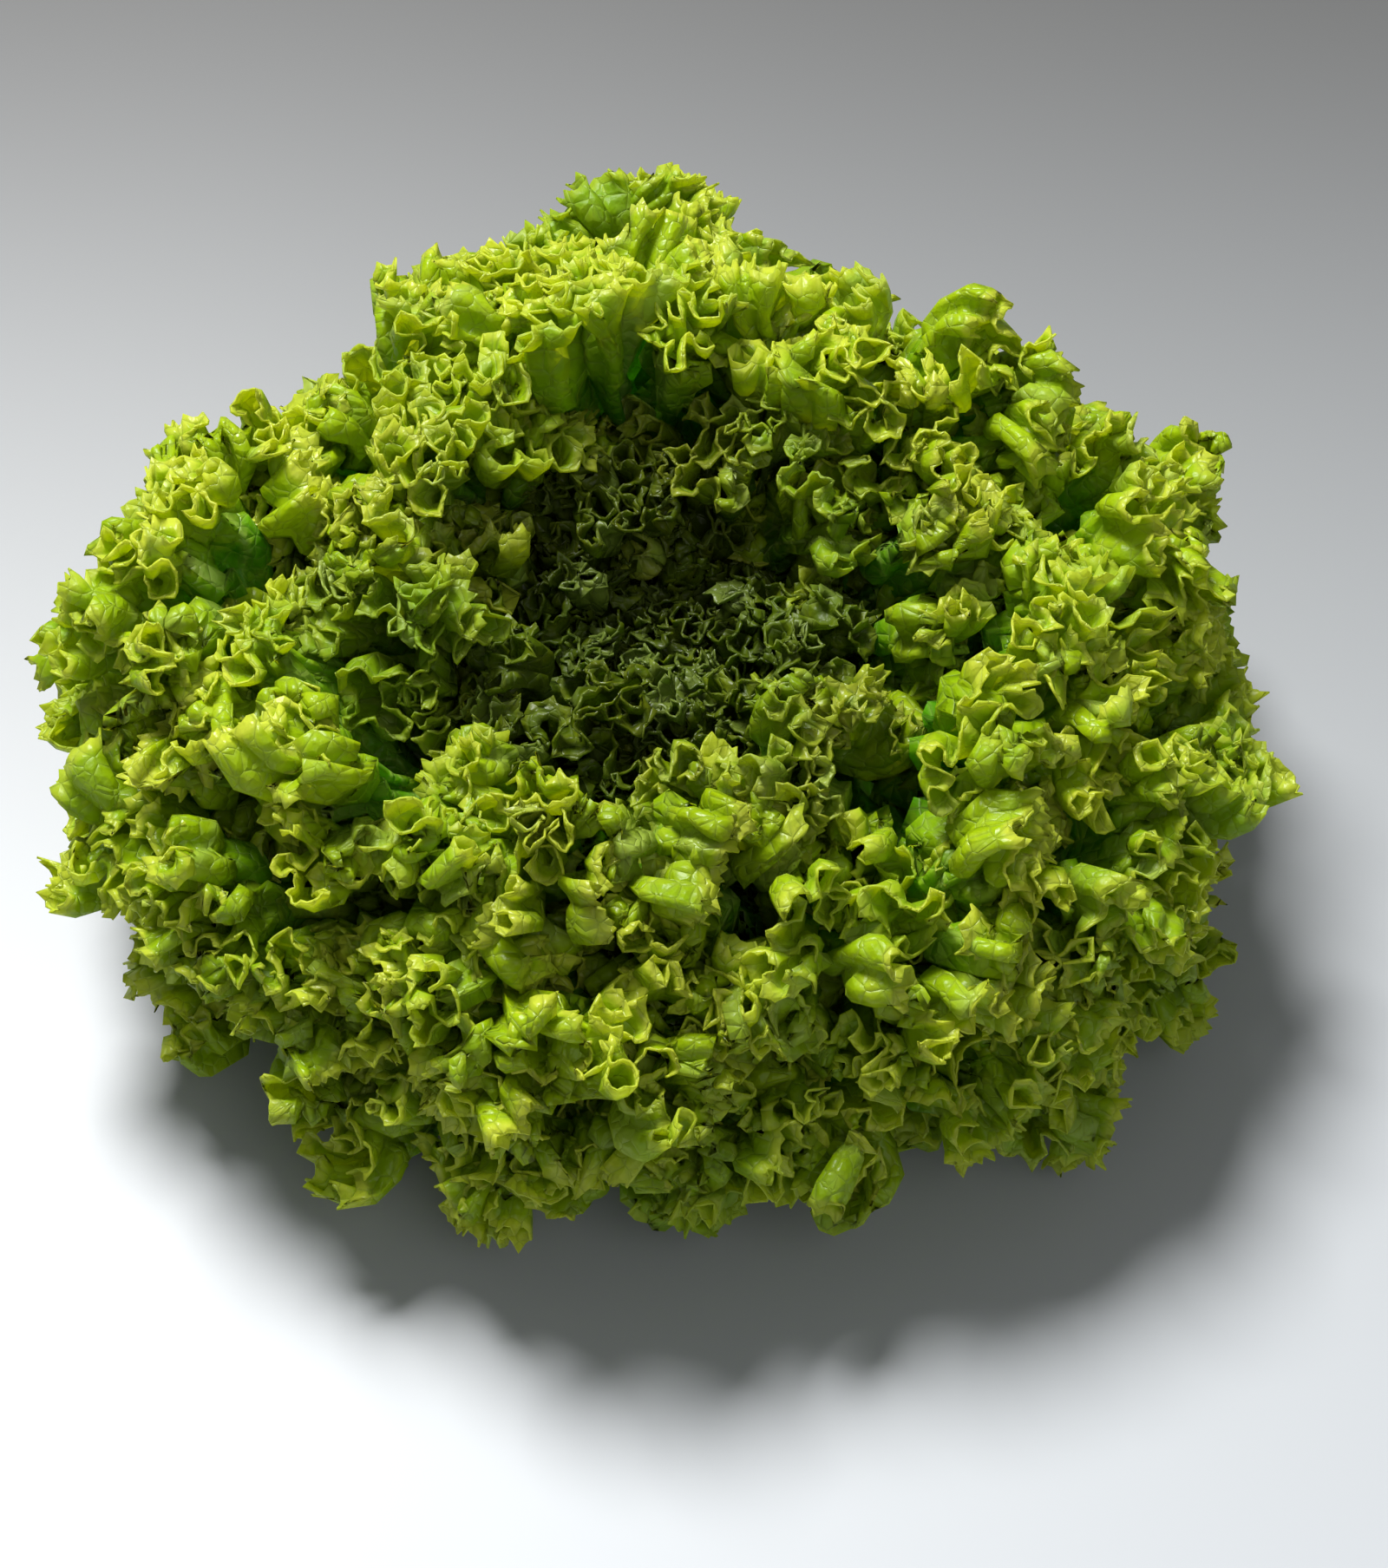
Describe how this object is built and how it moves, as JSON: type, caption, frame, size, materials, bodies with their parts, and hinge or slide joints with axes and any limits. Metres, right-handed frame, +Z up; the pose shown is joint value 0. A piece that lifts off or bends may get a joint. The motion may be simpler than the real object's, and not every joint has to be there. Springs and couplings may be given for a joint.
{
  "type": "lollo bionda lettuce",
  "caption": "Head of frilly pale green loose-leaf lettuce, a rosette of ruffled leaves around a short stem, standing on its flat cut stump.",
  "frame": {"origin": "centre of the flat cut face under the stump, at the height of the surface that the head stands on", "axes": "+Z up along the stem, +X to the right and +Y to the far, taller side, seen from the near side where the head opens"},
  "size_m": [0.2777, 0.2569, 0.1375],
  "materials": {
    "outer_leaf": "satin",
    "middle_leaf": "satin",
    "heart_leaf": "satin",
    "stump": "matt"
  },
  "bodies": {
    "root": {"stem_stump": "stump", "outer_leaf_01": "outer_leaf", "outer_leaf_02": "outer_leaf", "outer_leaf_03": "outer_leaf", "outer_leaf_04": "outer_leaf", "outer_leaf_05": "outer_leaf", "outer_leaf_06": "outer_leaf", "outer_leaf_07": "outer_leaf", "outer_leaf_08": "outer_leaf", "outer_leaf_09": "outer_leaf", "outer_leaf_10": "outer_leaf", "outer_leaf_11": "outer_leaf", "outer_leaf_12": "outer_leaf", "middle_leaf_01": "middle_leaf", "middle_leaf_02": "middle_leaf", "middle_leaf_03": "middle_leaf", "middle_leaf_04": "middle_leaf", "middle_leaf_05": "middle_leaf", "middle_leaf_06": "middle_leaf", "middle_leaf_07": "middle_leaf", "middle_leaf_08": "middle_leaf", "middle_leaf_09": "middle_leaf", "middle_leaf_10": "middle_leaf", "middle_leaf_11": "middle_leaf", "middle_leaf_12": "middle_leaf", "middle_leaf_13": "middle_leaf", "middle_leaf_14": "middle_leaf", "middle_leaf_15": "middle_leaf", "heart_leaf_01": "heart_leaf", "heart_leaf_02": "heart_leaf", "heart_leaf_03": "heart_leaf", "heart_leaf_04": "heart_leaf", "heart_leaf_05": "heart_leaf", "heart_leaf_06": "heart_leaf", "heart_leaf_07": "heart_leaf", "heart_leaf_08": "heart_leaf", "heart_leaf_09": "heart_leaf", "heart_leaf_10": "heart_leaf", "heart_leaf_11": "heart_leaf", "heart_leaf_12": "heart_leaf"}
  },
  "joints": []
}
